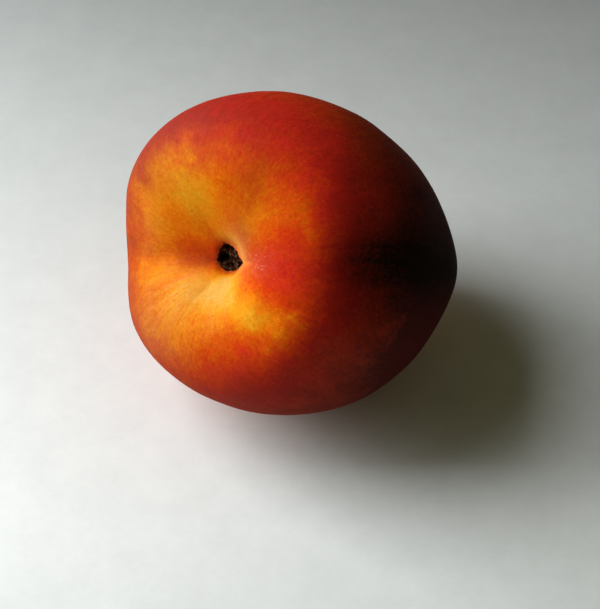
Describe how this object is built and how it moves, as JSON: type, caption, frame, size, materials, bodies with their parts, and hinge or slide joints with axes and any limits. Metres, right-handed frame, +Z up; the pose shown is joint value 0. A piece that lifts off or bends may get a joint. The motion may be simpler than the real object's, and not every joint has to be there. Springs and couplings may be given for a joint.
{
  "type": "peach",
  "caption": "Ripe whole peach lying tipped over on a small flat spot, with a deep stem hollow, a suture valley and rounded shoulders.",
  "frame": {"origin": "middle of the flat spot that the fruit rests on", "axes": "+Z up; the stem hollow looks up and towards -X, and the fruit's blunt tip points down and towards +X"},
  "size_m": [0.075, 0.0715, 0.0732],
  "materials": {
    "skin": "matte"
  },
  "bodies": {
    "root": {"peach": "skin"}
  },
  "joints": []
}
